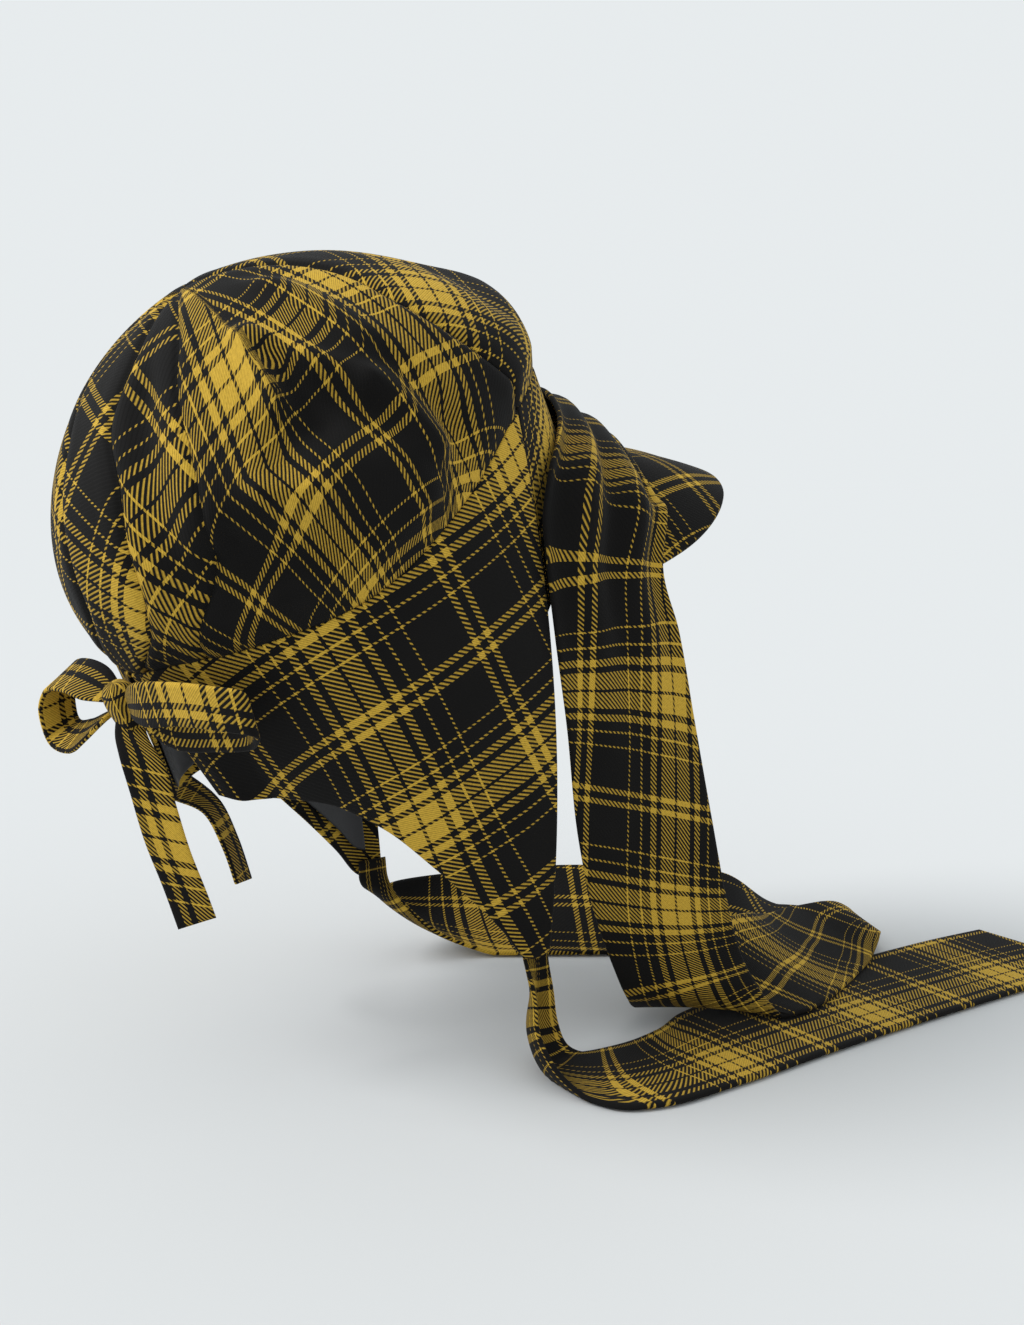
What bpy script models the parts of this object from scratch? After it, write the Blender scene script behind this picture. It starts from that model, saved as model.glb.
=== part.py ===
"""A deerstalker hat in tartan cloth, modelled as it is worn.

Metres, +Z up, the peak points to -Y and the wearer's right is -X. The origin is the centre of the
crown's base, where the crown is sewn to the band and the ear flaps. The base leans back.
The right ear flap's tie lies straight on the surface below. The left one's lies in a loop on that
surface, climbs the right side, crosses over the peak and hangs down on the left.
"""
import bmesh
import bpy
import numpy as np
from mathutils import Matrix, Vector

# Driving dimensions
HEAD_LENGTH = 0.210         # crown base, front to back, over the cloth
HEAD_WIDTH = 0.174          # crown base, side to side
CROWN_HEIGHT = 0.1051       # crown base to its top, square to the base
CROWN_TILT = np.radians(37)     # how far the base leans back
CROWN_FULLNESS = 0.046      # how far the crown swells over its base, as a share of its radius
CROWN_LEAN = 0.0065         # how far the crown's middle slumps to the wearer's right
FRONT_ROUNDNESS = 1.82      # exponent of the crown's profile at the front
BACK_ROUNDNESS = 2.21       # and at the back
FLAP_DROP = 0.177           # centre of the crown's base down to a flap's tip
TIE_FALL = 0.0445           # flap's tip down to the surface that the ties lie on
BAND_DEPTH = 0.0375         # front band at the middle of the forehead
PEAK_REACH = 0.078          # peak beyond the band, at its middle
TIE_WIDTH = 0.070
BOW_TIE_WIDTH = 0.0175
CLOTH = 0.0020              # crown, band and flap walls
LINING = 0.0010
TIE_CLOTH = 0.0023          # a tie is two layers, turned and pressed
BOW_CLOTH = 0.0020
PEAK_BOARD = 0.0030         # peak: a stiffener between two layers
HEM = 0.007                 # outer cloth turned in along a flap's free edges
NAPE_SLIT = 0.046           # width of the slit at the nape, at the rim
KNOT_WIDTH = 0.017
KNOT_DEPTH = 0.013
KNOT_HEIGHT = 0.021
KNOT_ROUNDING = 0.0055
KNOT_DROP = 0.48            # knot's middle below the crown's base, as a share of its height
SEAM_GAP = 0.0007
BASE_GAP = 0.0013           # between the crown's lower edge and what is sewn under it
CLEARANCE = 0.0003
PEAK_CAMBER = 0.05          # how far the peak arches up, as a share of its reach
CROWN_PROFILE = 1.4         # length of the crown's profile, as a share of its height
CROWN_TOP = 0.985           # where the panels stop, short of the crown's top
SLIT_START = 150            # degrees around where a flap starts to draw back from the nape's slit

HALF_LENGTH = HEAD_LENGTH / 2
HALF_WIDTH = HEAD_WIDTH / 2
SURFACE = -(FLAP_DROP + TIE_FALL)

# Directions of the leaning base: forward along it, to the wearer's right, and along the crown's axis
FORWARD = np.array([0.0, -np.cos(CROWN_TILT), np.sin(CROWN_TILT)])
RIGHT = np.array([-1.0, 0.0, 0.0])
CROWN_AXIS = np.array([0.0, np.sin(CROWN_TILT), np.cos(CROWN_TILT)])

# The base seam is not quite flat: around in degrees from the front, rise as a share of CROWN_HEIGHT
SEAM_RISE = {
    "around": (0, 30, 57, 85, 110, 135, 157, 180),
    "rise": (0.04, 0.06, 0.08, 0.00, -0.045, 0.02, 0.075, 0.06),
}

# Crown seams: height up the profile, and each seam's place around in degrees
CROWN_SEAMS = {
    "up": (0.00, 0.06, 0.16, 0.31, 0.45, 0.60, 0.75, 1.00),
    "front": (57, 57, 60, 62, 61, 54, 48, 42),
    "back_right": (149, 146, 138, 132, 129, 127, 121, 114),
    "centre": (170, 160, 154, 152, 151, 154, 148, 144),
    "back_left": (191, 184, 176, 176, 180, 184, 200, 206),
}

# Folds and hollows of the crown: two ends as (around, up), half width and height as shares of
# CROWN_HEIGHT, with a hollow negative
CROWN_FOLDS = (
    {"start": (76, 0.66), "end": (84, 0.18), "width": 0.11, "height": 0.045},
    {"start": (94, 0.36), "end": (80, 0.13), "width": 0.11, "height": -0.050},
    {"start": (112, 0.14), "end": (140, 0.16), "width": 0.12, "height": -0.055},
    {"start": (92, 0.16), "end": (118, 0.30), "width": 0.12, "height": 0.040},
    {"start": (140, 0.62), "end": (143, 0.30), "width": 0.10, "height": -0.035},
    {"start": (268, 0.16), "end": (250, 0.30), "width": 0.13, "height": 0.040},
    {"start": (236, 0.14), "end": (222, 0.20), "width": 0.13, "height": -0.045},
    {"start": (296, 0.60), "end": (276, 0.24), "width": 0.12, "height": 0.035},
    {"start": (20, 0.45), "end": (36, 0.25), "width": 0.14, "height": -0.030},
)

# Lower edge of the band: place around, side, forward and up as shares of half the head's width,
# half its length and BAND_DEPTH
BAND_EDGE = {
    "around": (0, 20, 40, 57),
    "side": (0.0, 0.34, 0.66, 0.85),
    "forward": (0.975, 0.93, 0.775, 0.515),
    "up": (0.80, 0.55, -0.20, -1.05),
}

# Peak's outer edge, from its middle to its end: outward from the band's edge in shares of PEAK_REACH
PEAK_EDGE = {
    "around": (0, 12, 24, 36, 46, 53, 57),
    "side": (0.00, 0.14, 0.26, 0.25, 0.15, 0.05, 0.015),
    "forward": (1.00, 0.975, 0.87, 0.62, 0.35, 0.11, 0.015),
    "up": (-0.08, -0.09, -0.10, -0.10, -0.06, -0.02, 0.00),
}

# A flap's lower edge, from its front corner to the nape: place around at the crown's base, then
# side and back as shares of half the head's width and length, and drop as a share of FLAP_DROP
FLAP_EDGE = {
    "around": (57, 62, 68, 76, 85, 95, 106, 118, 131, 145, 158, 170, 180),
    "side": (0.805, 0.81, 0.815, 0.81, 0.795, 0.765, 0.725, 0.665, 0.58, 0.45, 0.31, 0.175, 0.0),
    "back": (-0.57, -0.50, -0.43, -0.335, -0.20, -0.06, 0.075, 0.18, 0.275, 0.39, 0.49, 0.555, 0.60),
    "drop": (1.00, 1.01, 0.995, 0.925, 0.84, 0.76, 0.685, 0.64, 0.61, 0.60, 0.598, 0.597, 0.59),
}
FLAP_SWELL = {
    "around": (57, 75, 100, 130, 155, 180),
    "swell": (0.06, 0.05, 0.07, 0.05, 0.02, 0.00),
}

# The ties' two long edges. Side and forward are shares of half the head's width and length. Level
# is a share of half the head's length where positive, of FLAP_DROP down to -1 and then of TIE_FALL
# down to -2, the surface. Bow and ripple bend the cloth between its edges, in shares of TIE_WIDTH.
TIE_COLUMNS = ("side_a", "forward_a", "level_a", "side_b", "forward_b", "level_b", "bow", "ripple")
TIE_RIGHT_ROWS = (
    (-0.766, 0.43, -0.955, -0.766, 0.57, -0.955, 0.00, 0.00),
    (-0.772, 0.42, -1.060, -0.768, 0.575, -1.060, 0.02, 0.00),
    (-0.874, 0.39, -1.340, -0.822, 0.57, -1.360, 0.08, 0.00),
    (-0.977, 0.35, -1.61, -0.839, 0.58, -1.65, 0.12, 0.00),
    (-1.126, 0.34, -1.83, -0.874, 0.61, -1.88, 0.12, 0.00),
    (-1.299, 0.38, -1.96, -0.920, 0.69, -1.97, 0.08, 0.00),
    (-1.448, 0.48, -2.00, -0.943, 0.84, -2.00, 0.04, 0.00),
    (-1.540, 0.63, -2.00, -0.920, 1.02, -2.00, 0.02, 0.00),
    (-1.575, 0.98, -2.00, -0.828, 1.22, -2.00, 0.01, 0.00),
    (-1.575, 1.43, -2.00, -0.793, 1.52, -2.00, 0.00, 0.00),
    (-1.586, 1.90, -2.00, -0.793, 1.93, -2.00, 0.00, 0.00),
    (-1.609, 2.38, -2.00, -0.816, 2.40, -2.00, 0.01, 0.00),
    (-1.644, 2.86, -2.00, -0.851, 2.86, -2.00, 0.01, 0.00),
    (-1.690, 3.19, -2.00, -0.897, 3.17, -2.00, 0.00, 0.00),
)
TIE_LEFT_ROWS = (
    (0.766, 0.57, -0.955, 0.766, 0.43, -0.955, 0.00, 0.00),
    (0.764, 0.58, -1.060, 0.780, 0.44, -1.060, 0.02, 0.00),
    (0.724, 0.63, -1.300, 0.920, 0.59, -1.240, 0.06, 0.00),
    (0.644, 0.76, -1.66, 0.989, 0.76, -1.27, 0.10, 0.00),
    (0.483, 0.95, -1.92, 0.989, 1.03, -1.30, 0.08, 0.00),
    (0.241, 1.25, -2.00, 0.839, 1.59, -1.36, 0.04, 0.00),
    (0.069, 1.46, -2.00, 0.667, 1.80, -1.36, 0.02, 0.00),
    (-0.172, 1.76, -2.00, 0.425, 2.10, -1.38, 0.02, 0.00),
    (-0.345, 1.98, -2.00, 0.264, 2.34, -1.60, 0.02, 0.00),
    (-0.517, 2.27, -2.00, 0.161, 2.62, -1.94, 0.02, 0.00),
    (-0.655, 2.55, -2.00, 0.034, 2.80, -2.00, 0.00, 0.00),
    (-0.736, 2.70, -1.88, -0.046, 2.90, -1.88, 0.00, 0.00),
    (-0.770, 2.61, -1.76, -0.046, 2.82, -1.76, 0.00, 0.00),
    (-0.905, 2.36, -1.88, -0.161, 2.50, -1.76, -0.01, 0.00),
    (-1.005, 2.17, -1.91, -0.270, 2.21, -1.66, -0.03, 0.00),
    (-1.120, 1.94, -1.91, -0.450, 1.87, -1.42, -0.05, 0.00),
    (-1.195, 1.77, -1.90, -0.530, 1.57, -1.40, -0.03, 0.00),
    (-1.225, 1.62, -1.89, -0.610, 1.29, -1.64, 0.00, 0.00),
    (-1.190, 1.51, -1.86, -0.725, 1.05, -1.83, 0.02, 0.00),
    (-1.085, 1.486, -1.70, -0.828, 0.93, -1.60, -0.02, 0.00),
    (-0.989, 1.457, -1.42, -0.839, 0.85, -1.24, -0.05, 0.00),
    (-0.954, 1.390, -0.96, -0.839, 0.76, -0.93, -0.03, 0.00),
    (-0.931, 1.305, -0.735, -0.851, 0.667, -0.735, -0.02, 0.00),
    (-0.920, 1.210, -0.49, -0.885, 0.59, -0.47, -0.01, 0.01),
    (-0.925, 1.115, -0.27, -0.940, 0.50, -0.26, -0.01, 0.02),
    (-0.935, 1.020, -0.115, -0.945, 0.455, -0.085, -0.04, 0.035),
    (-0.890, 1.070, 0.020, -0.915, 0.460, 0.020, -0.06, 0.045),
    (-0.770, 1.110, 0.060, -0.845, 0.530, 0.160, -0.07, 0.055),
    (-0.600, 1.160, 0.140, -0.695, 0.655, 0.275, -0.07, 0.060),
    (-0.402, 1.220, 0.230, -0.471, 0.800, 0.395, -0.07, 0.060),
    (0.000, 1.310, 0.345, 0.000, 0.940, 0.525, -0.07, 0.060),
    (0.402, 1.235, 0.260, 0.437, 0.850, 0.415, -0.07, 0.060),
    (0.720, 1.130, 0.110, 0.750, 0.680, 0.235, -0.06, 0.045),
    (0.905, 1.070, -0.050, 0.925, 0.580, 0.000, -0.04, 0.030),
    (0.955, 1.050, -0.250, 0.965, 0.445, -0.200, -0.02, 0.020),
    (0.950, 1.060, -0.430, 0.950, 0.410, -0.400, -0.01, 0.010),
    (0.943, 1.070, -0.620, 0.931, 0.410, -0.600, 0.00, 0.000),
)
RIPPLES = 2.5               # waves across a gathered tie
TIE_SPREAD = 6              # strips across a tie
TIE_STEPS = 2               # sections for each row of a tie's table

# The bow: each band's middle line, to the side, out and down from the knot's side or foot, then its
# width the same ways, all as shares of BOW_TIE_WIDTH. The knot pinches a band where it leaves.
BOW_COLUMNS = ("side", "out", "down", "width_side", "width_out", "width_down")
BOW_LOOP_RIGHT = (
    (0.054, 0.10, -0.10, 0.00, 0.15, -0.60),
    (0.914, 0.20, -0.22, 0.05, 0.30, -0.95),
    (2.114, -0.06, -0.38, 0.10, 0.30, -0.95),
    (3.214, -0.50, -0.40, 0.10, 0.30, -0.95),
    (3.764, -0.98, -0.30, 0.10, 0.30, -0.95),
    (3.364, -1.12, -0.02, 0.10, 0.35, -0.93),
    (2.214, -0.78, 0.22, 0.10, 0.35, -0.93),
    (0.964, -0.34, 0.28, 0.05, 0.30, -0.95),
    (0.074, -0.10, 0.10, 0.00, 0.15, -0.60),
)
BOW_LOOP_LEFT = (
    (-0.054, 0.12, -0.18, 0.06, 0.50, 0.00),
    (-0.564, 0.35, -0.58, 0.12, 0.85, 0.00),
    (-1.264, 0.60, -0.62, 0.25, 0.96, 0.00),
    (-1.964, 0.80, -0.20, 0.30, 0.95, 0.00),
    (-2.364, 0.86, 0.38, 0.30, 0.95, 0.00),
    (-2.064, 0.78, 0.95, 0.30, 0.95, 0.00),
    (-1.364, 0.60, 1.12, 0.25, 0.96, 0.00),
    (-0.614, 0.40, 0.84, 0.12, 0.85, 0.00),
    (-0.054, 0.14, 0.26, 0.06, 0.50, 0.00),
)
BOW_TAIL_RIGHT = (
    (0.26, 0.04, -0.015, 0.45, -0.25, 0.10),
    (0.62, -0.02, 0.550, 0.68, -0.58, 0.26),
    (0.92, -0.14, 1.300, 0.66, -0.68, 0.30),
    (1.16, -0.36, 2.300, 0.62, -0.74, 0.22),
    (1.36, -0.66, 3.300, 0.62, -0.76, 0.16),
    (1.50, -0.92, 4.250, 0.62, -0.76, 0.14),
)
BOW_TAIL_LEFT = (
    (-0.24, -0.10, -0.008, 0.45, 0.28, 0.15),
    (-0.66, -0.40, 0.820, 0.66, 0.45, 0.60),
    (-1.40, -1.00, 1.350, 0.60, 0.50, 0.62),
    (-2.20, -2.05, 1.900, 0.66, 0.62, 0.42),
    (-2.60, -2.95, 2.600, 0.72, 0.68, 0.10),
    (-2.75, -3.45, 3.600, 0.74, 0.67, 0.05),
    (-2.85, -3.85, 4.800, 0.74, 0.67, 0.05),
)


def fresh_collection(name):
    """Empty the scene and return a new collection for the hat."""
    for old in list(bpy.data.objects):
        bpy.data.objects.remove(old, do_unlink=True)
    collection = bpy.data.collections.new(name)
    bpy.context.scene.collection.children.link(collection)
    return collection


def material(name, colour, roughness):
    """A plain Principled BSDF material."""
    made = bpy.data.materials.new(name)
    made.use_nodes = True
    shader = made.node_tree.nodes["Principled BSDF"]
    shader.inputs["Base Color"].default_value = (*colour, 1.0)
    shader.inputs["Roughness"].default_value = roughness
    shader.inputs["Metallic"].default_value = 0.0
    return made


def column(table, name, at):
    """A table's column read at any place around, on a smooth curve through its rows."""
    places = np.array(table["around" if "around" in table else "up"], float)
    return hermite(places, np.array(table[name], float)[:, None], np.asarray(at, float))[..., 0]


def hermite(knots, rows, at):
    """Rows of numbers read between their knots on a cubic curve, whose slope at a row is the
    mean of the slopes on its two sides, each weighted by the length of the other side."""
    step = np.diff(knots)
    slope = np.diff(rows, axis=0) / step[:, None]
    tangent = np.empty_like(rows)
    tangent[0] = slope[0]
    tangent[-1] = slope[-1]
    before, after = step[:-1, None], step[1:, None]
    tangent[1:-1] = (slope[:-1] * after + slope[1:] * before) / (before + after)
    at = np.clip(at, knots[0], knots[-1])
    index = np.clip(np.searchsorted(knots, at, side="right") - 1, 0, len(knots) - 2)
    width = step[index]
    t = ((at - knots[index]) / width)[..., None]
    width = width[..., None]
    return ((2 * t**3 - 3 * t**2 + 1) * rows[index] + (t**3 - 2 * t**2 + t) * width * tangent[index]
            + (3 * t**2 - 2 * t**3) * rows[index + 1] + (t**3 - t**2) * width * tangent[index + 1])


def unit(vectors):
    return vectors / np.linalg.norm(vectors, axis=-1, keepdims=True)


def normals(points):
    """Unit normals of a grid of points, from its differences both ways."""
    return unit(np.cross(np.gradient(points, axis=0), np.gradient(points, axis=1)))


def right_half(around):
    """Degrees around on the wearer's right, 0 to 180, for a place on either side."""
    around = np.mod(around, 360)
    return np.where(around > 180, 360 - around, around)


def fold_height(around, up):
    """Height of the crown's folds and hollows at a place: each is a soft ridge along a line."""
    profile = CROWN_HEIGHT * CROWN_PROFILE
    place = np.stack([np.radians(np.mod(around, 360)) * HALF_LENGTH, up * profile], -1)
    total = np.zeros(np.broadcast(around, up).shape)
    for fold in CROWN_FOLDS:
        ends = [np.array([np.radians(a) * HALF_LENGTH, u * profile])
                for a, u in (fold["start"], fold["end"])]
        along = ends[1] - ends[0]
        share = np.clip((place - ends[0]) @ along / (along @ along), 0, 1)
        distance = np.linalg.norm(place - ends[0] - share[..., None] * along, axis=-1)
        total += fold["height"] * CROWN_HEIGHT * np.exp(-(distance / (fold["width"] * CROWN_HEIGHT))**2)
    return total * np.clip(up / 0.08, 0, 1)


def crown_point(around, up, off=0.0):
    """A point of the crown's outer face: a profile between a circle's and a square's, swollen over
    its base and slumped to one side, carried round the oval base, then folded in and out."""
    around, up = np.broadcast_arrays(np.asarray(around, float), np.asarray(up, float))
    angle = np.radians(around)
    front = 0.5 + 0.5 * np.cos(angle)
    power = 2 / (BACK_ROUNDNESS + (FRONT_ROUNDNESS - BACK_ROUNDNESS) * front)
    rise = np.clip(np.sin(up * np.pi / 2), 0, 1)**power
    swell = np.sin(np.pi * rise)
    radius = np.clip(np.cos(up * np.pi / 2), 0, 1)**power * (1 + CROWN_FULLNESS * swell)
    forward = HALF_LENGTH * radius * np.cos(angle)
    side = HALF_WIDTH * radius * np.sin(angle) + CROWN_LEAN * swell
    lift = CROWN_HEIGHT * (rise + column(SEAM_RISE, "rise", right_half(around)) * (1 - up)**3)
    outward = fold_height(around, up) + off
    share = up[..., None]
    direction = unit((1 - share) * (np.cos(angle)[..., None] * FORWARD + np.sin(angle)[..., None] * RIGHT)
                     + share * CROWN_AXIS)
    return (forward[..., None] * FORWARD + side[..., None] * RIGHT + lift[..., None] * CROWN_AXIS
            + outward[..., None] * direction)


def base_point(around):
    """A point of the seam round the crown's base."""
    return crown_point(around, np.zeros(np.shape(around)))


def sheet(name, points, thickness, offset, made_of, collection):
    """An open grid of points given a wall by Solidify."""
    across, along = points.shape[:2]
    mesh = bpy.data.meshes.new(name)
    grid = bmesh.new()
    bmesh.ops.create_grid(grid, x_segments=across - 1, y_segments=along - 1, size=0.5)
    for vertex in grid.verts:
        i = round((vertex.co.x + 0.5) * (across - 1))
        j = round((vertex.co.y + 0.5) * (along - 1))
        vertex.co = Vector(points[i, j])
    grid.to_mesh(mesh)
    grid.free()
    mesh.shade_smooth()
    mesh.materials.append(made_of)
    piece = bpy.data.objects.new(name, mesh)
    collection.objects.link(piece)
    solidify = piece.modifiers.new("wall", "SOLIDIFY")
    solidify.thickness = thickness
    solidify.offset = offset
    return piece


def crown_panel(name, first, last, columns, rows, made_of, collection):
    """One panel of the crown, between two seams given by their columns, each with its sign."""
    up = np.linspace(0, 1, rows + 1)**0.9 * CROWN_TOP
    share = np.linspace(0, 1, columns + 1)
    edges = []
    radius = np.cos(up * np.pi / 2) * HALF_WIDTH
    for (seam, turn), side in ((first, 1), (last, -1)):
        around = turn(column(CROWN_SEAMS, seam, up))
        edges.append(around + side * np.degrees(SEAM_GAP / 2 / radius))
    around = edges[0] + (edges[1] - edges[0]) * share[:, None]
    points = crown_point(around, np.broadcast_to(up, around.shape))
    return sheet(name, points[::-1], CLOTH, -1, made_of, collection)


def band_edge(around):
    """A point of the front band's lower edge, mirrored for the wearer's left."""
    turned = np.abs(around)
    side = column(BAND_EDGE, "side", turned) * HALF_WIDTH * np.sign(around)
    forward = column(BAND_EDGE, "forward", turned) * HALF_LENGTH
    up = column(BAND_EDGE, "up", turned) * BAND_DEPTH
    return np.stack([-side, -forward, up], -1)


def front_band(made_of, collection):
    """The narrow band over the forehead, between the two ear flaps."""
    reach = CROWN_SEAMS["front"][0] - np.degrees(SEAM_GAP / HALF_WIDTH)
    around = np.linspace(-reach, reach, 25)
    top = base_point(around)
    bottom = band_edge(around)
    share = np.linspace(0, 1, 4)[None, :, None]
    points = top[:, None] + (bottom - top)[:, None] * share
    points -= CROWN_AXIS * BASE_GAP * (1 - share)
    return sheet("front_band", points, CLOTH, -1, made_of, collection)


def peak(made_of, collection):
    """The stiff peak: a crescent from the band's lower edge to the outline in PEAK_EDGE."""
    reach = CROWN_SEAMS["front"][0] - 2
    around = np.linspace(-reach, reach, 29)
    turned = np.abs(around)
    root = band_edge(around)
    outward = np.stack([-column(PEAK_EDGE, "side", turned) * np.sign(around),
                        -column(PEAK_EDGE, "forward", turned), column(PEAK_EDGE, "up", turned)], -1)
    share = np.linspace(0, 1, 7)[None, :, None]
    start = root + np.array([0, -(CLOTH / 2 + CLEARANCE), -(PEAK_BOARD / 2 + CLEARANCE)])
    points = start[:, None] + (outward * PEAK_REACH)[:, None] * share
    points[..., 2] += (PEAK_CAMBER * PEAK_REACH * 4 * share * (1 - share))[..., 0]
    return sheet("peak", points, PEAK_BOARD, 0, made_of, collection)


def flap_point(around, down):
    """A point of the right ear flap: straight from the crown's base to the flap's lower edge,
    swollen outward between them. The last columns leave the nape's slit open."""
    around, down = np.broadcast_arrays(np.asarray(around, float), np.asarray(down, float))
    top = base_point(around) - CROWN_AXIS * BASE_GAP
    half_slit = NAPE_SLIT / 2 * np.clip((around - SLIT_START) / (180 - SLIT_START), 0, 1)
    side = column(FLAP_EDGE, "side", around) * HALF_WIDTH + half_slit
    back = column(FLAP_EDGE, "back", around) * HALF_LENGTH
    drop = column(FLAP_EDGE, "drop", around) * FLAP_DROP
    bottom = np.stack([-side, back, -drop], -1)
    swell = column(FLAP_SWELL, "swell", around) * HALF_WIDTH * 4 * down * (1 - down)
    lean = np.radians(around)
    outward = np.stack([-np.sin(lean), -np.cos(lean), np.zeros_like(lean)], -1)
    share = down[..., None]
    slit_top = (half_slit / (NAPE_SLIT / 2))[..., None] * np.array([-SEAM_GAP, 0, 0])
    return top + (bottom - top) * share + swell[..., None] * outward + slit_top


def mirrored(points, side):
    """The grid for the wearer's right (1) or left (-1), with its outer face kept outside."""
    if side > 0:
        return points
    return (points * np.array([-1, 1, 1]))[::-1]


def ear_flap(side, made_of, collection):
    start = CROWN_SEAMS["front"][0] + np.degrees(SEAM_GAP / HALF_WIDTH)
    around = np.linspace(start, 180, 23)
    down = np.linspace(0, 1, 10)
    points = flap_point(around[:, None], down[None, :])
    name = "ear_flap_right" if side > 0 else "ear_flap_left"
    return sheet(name, mirrored(points, side), CLOTH, -1, made_of, collection)


def flap_lining(side, made_of, collection):
    """The lining of an ear flap, inside it and short of its turned hem."""
    inset = np.degrees(HEM / HALF_LENGTH)
    around = np.linspace(CROWN_SEAMS["front"][0] + 1.6 * inset, 180 - inset / 2, 13)
    down = np.linspace(HEM / FLAP_DROP, 1 - 1.6 * HEM / FLAP_DROP, 8)
    points = flap_point(around[:, None], down[None, :])
    points = points - normals(points) * (CLOTH + 2 * CLEARANCE)
    name = "flap_lining_right" if side > 0 else "flap_lining_left"
    return sheet(name, mirrored(points, side), LINING, -1, made_of, collection)


def level(share):
    """A height from its share, as the ties' tables state it."""
    share = np.asarray(share, float)
    return np.where(share > 0, share * HALF_LENGTH,
                    np.where(share > -1, share * FLAP_DROP, -FLAP_DROP + (share + 1) * TIE_FALL))


def tie(name, rows, made_of, collection):
    """A wide tie: cloth ruled between its two long edges, which run smoothly through the rows."""
    table = dict(zip(TIE_COLUMNS, np.array(rows, float).T))
    edges = []
    for edge in ("a", "b"):
        edges.append(np.stack([table["side_" + edge] * HALF_WIDTH, -table["forward_" + edge] * HALF_LENGTH,
                               level(table["level_" + edge])], -1))
    bends = np.stack([table["bow"], table["ripple"]], -1)
    middle = (edges[0] + edges[1]) / 2
    knots = np.concatenate([[0], np.cumsum(np.linalg.norm(np.diff(middle, axis=0), axis=1))])
    places = np.interp(np.arange((len(rows) - 1) * TIE_STEPS + 1) / TIE_STEPS, np.arange(len(rows)), knots)
    smooth = hermite(knots, np.hstack([edges[0], edges[1], bends]), places)
    share = np.linspace(0, 1, TIE_SPREAD + 1)[:, None, None]
    points = smooth[None, :, 0:3] * (1 - share) + smooth[None, :, 3:6] * share
    bow = smooth[:, 6] * 4 * share[..., 0] * (1 - share[..., 0])
    ripple = smooth[:, 7] * np.sin(2 * np.pi * RIPPLES * share[..., 0])
    points = points + normals(points) * ((bow + ripple) * TIE_WIDTH)[..., None]
    lowest = SURFACE + TIE_CLOTH / 2 + CLEARANCE
    points[..., 2] = np.maximum(points[..., 2], lowest)
    return sheet(name, points, TIE_CLOTH, 0, made_of, collection)


def knot_frame():
    """The knot's middle and its directions: to the wearer's right, out from the nape, and down."""
    across_nape = np.array([0.0, 1.0, 1.0])
    nape = [flap_point(180.0, share) * across_nape for share in (0.0, 0.5)]
    down = unit(nape[1] - nape[0])
    out = np.array([0.0, -down[2], down[1]])
    middle = nape[0] + down * KNOT_DROP * KNOT_HEIGHT + out * (KNOT_DEPTH / 2 + CLEARANCE)
    return middle, RIGHT, out, down


def bow_knot(made_of, collection):
    """The knot over the top of the nape's slit, a small rounded block."""
    middle, right, out, down = knot_frame()
    bpy.ops.mesh.primitive_cube_add(size=1)
    knot = bpy.context.object
    knot.name = knot.data.name = "bow_knot"
    knot.data.transform(Matrix.Diagonal((KNOT_WIDTH, KNOT_DEPTH, KNOT_HEIGHT, 1)))
    for old in list(knot.users_collection):
        old.objects.unlink(knot)
    collection.objects.link(knot)
    knot.data.materials.append(made_of)
    knot.data.shade_smooth()
    turn = Matrix((-right, out, -down)).transposed().to_4x4()
    knot.matrix_world = Matrix.Translation(Vector(middle)) @ turn
    bevel = knot.modifiers.new("rounding", "BEVEL")
    bevel.width = KNOT_ROUNDING
    bevel.segments = 3
    return knot


def bow_band(name, rows, start, made_of, collection):
    """A narrow band of the bow, from its middle line and the direction of its width. It leaves the
    knot at start, a point to the side, out and down from the knot's middle."""
    table = dict(zip(BOW_COLUMNS, np.array(rows, float).T))
    leaves = knot_frame()[0] + np.array(start) * (-1, 1, -1)
    line = leaves + np.stack([-table["side"], table["out"], -table["down"]], -1) * BOW_TIE_WIDTH
    width = np.stack([-table["width_side"], table["width_out"], -table["width_down"]], -1) * BOW_TIE_WIDTH
    knots = np.concatenate([[0], np.cumsum(np.linalg.norm(np.diff(line, axis=0), axis=1))])
    places = np.interp(np.arange((len(rows) - 1) * 2 + 1) / 2, np.arange(len(rows)), knots)
    smooth = hermite(knots, np.hstack([line, width]), places)
    share = np.linspace(-0.5, 0.5, 3)[:, None, None]
    points = smooth[None, :, :3] + smooth[None, :, 3:] * share
    return sheet(name, points, BOW_CLOTH, 0, made_of, collection)


def same(around):
    return around


def across(around):
    """The same place on the wearer's left."""
    return 360 - around


def before_front(around):
    return -around


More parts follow.
